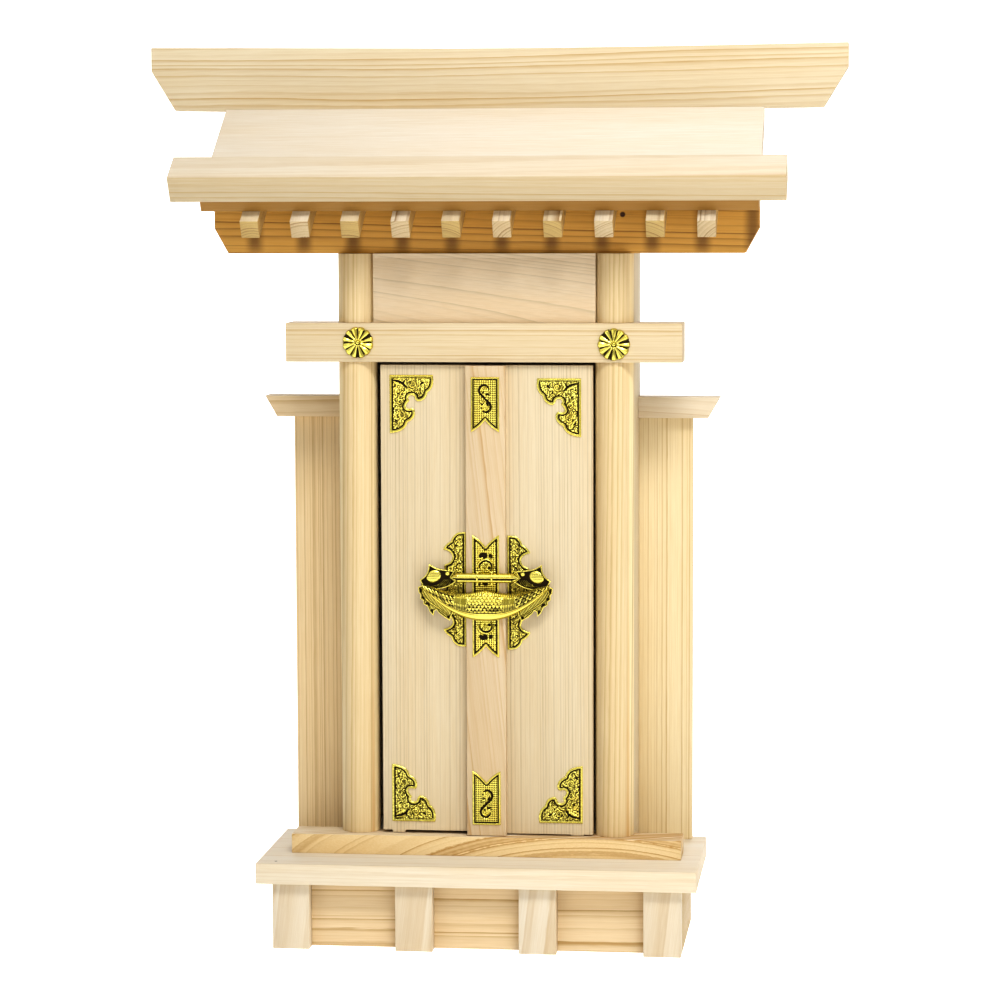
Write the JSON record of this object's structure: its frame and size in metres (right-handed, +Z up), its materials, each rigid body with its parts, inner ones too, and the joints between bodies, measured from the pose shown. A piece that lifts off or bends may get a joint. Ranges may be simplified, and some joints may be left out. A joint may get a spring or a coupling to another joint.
{
  "type": "household altar cabinet",
  "caption": "Slim wooden household shrine cabinet with a single roof slope, curved ridge beam, round columns and hinged double doors dressed with gilt brass fittings.",
  "frame": {"origin": "centre of the footprint box, on the surface it stands on", "axes": "+Z up; the doors face -Y; +X to the right seen from the front, along the ridge beam"},
  "size_m": [0.38, 0.1029, 0.4822],
  "materials": {
    "wood_pale": "planed, unfinished",
    "wood_honey": "planed, unfinished",
    "wood_amber": "planed, unfinished",
    "gilt_brass": "bright gilt, dark in the recesses"
  },
  "bodies": {
    "cabinet": {"back_panel": "wood_pale", "base_back": "wood_pale", "base_post_1": "wood_pale", "base_post_2": "wood_pale", "base_post_3": "wood_pale", "base_post_4": "wood_pale", "base_rail_1": "wood_honey", "base_rail_2": "wood_honey", "base_rail_3": "wood_honey", "base_side_left": "wood_honey", "base_side_right": "wood_honey", "ceiling": "wood_pale", "column_left_lower": "wood_honey", "column_left_upper": "wood_honey", "column_right_lower": "wood_honey", "column_right_upper": "wood_honey", "deck": "wood_pale", "eave_board": "wood_pale", "front_beam": "wood_amber", "inner_floor": "wood_pale", "rafter_01": "wood_honey", "rafter_02": "wood_honey", "rafter_03": "wood_honey", "rafter_04": "wood_honey", "rafter_05": "wood_honey", "rafter_06": "wood_honey", "rafter_07": "wood_honey", "rafter_08": "wood_honey", "rafter_09": "wood_honey", "rafter_10": "wood_honey", "ridge_beam": "wood_pale", "roof_back_board": "wood_pale", "roof_slab": "wood_pale", "rosette_left": "gilt_brass", "rosette_right": "gilt_brass", "side_wall_left": "wood_honey", "side_wall_right": "wood_honey", "sill": "wood_honey", "tie_beam": "wood_pale", "transom_panel": "wood_pale", "wing_cap_left": "wood_pale", "wing_cap_right": "wood_pale", "wing_left": "wood_pale", "wing_right": "wood_pale"},
    "door_left": {"door_left": "wood_pale", "corner_plate_top_left": "gilt_brass", "corner_plate_bottom_left": "gilt_brass", "side_plate_left": "gilt_brass"},
    "door_right": {"door_right": "wood_pale", "door_batten": "wood_pale", "corner_plate_top_right": "gilt_brass", "corner_plate_bottom_right": "gilt_brass", "side_plate_right": "gilt_brass", "strip_top": "gilt_brass", "strip_middle": "gilt_brass", "strip_bottom": "gilt_brass", "shrimp_lock": "gilt_brass"}
  },
  "joints": [
    {"name": "door_right_hinge", "type": "hinge", "parent": "cabinet", "child": "door_right", "pos_m": [0.0479, -0.0041, 0.0576], "axis": [0, 0, 1], "range_deg": [0, 100]},
    {"name": "door_left_hinge", "type": "hinge", "parent": "cabinet", "child": "door_left", "pos_m": [-0.0491, -0.0041, 0.0576], "axis": [0, 0, -1], "range_deg": [0, 100]}
  ],
  "couplings": [
    {"joint": "door_left_hinge", "follows": "door_right_hinge", "ratio": 1}
  ]
}
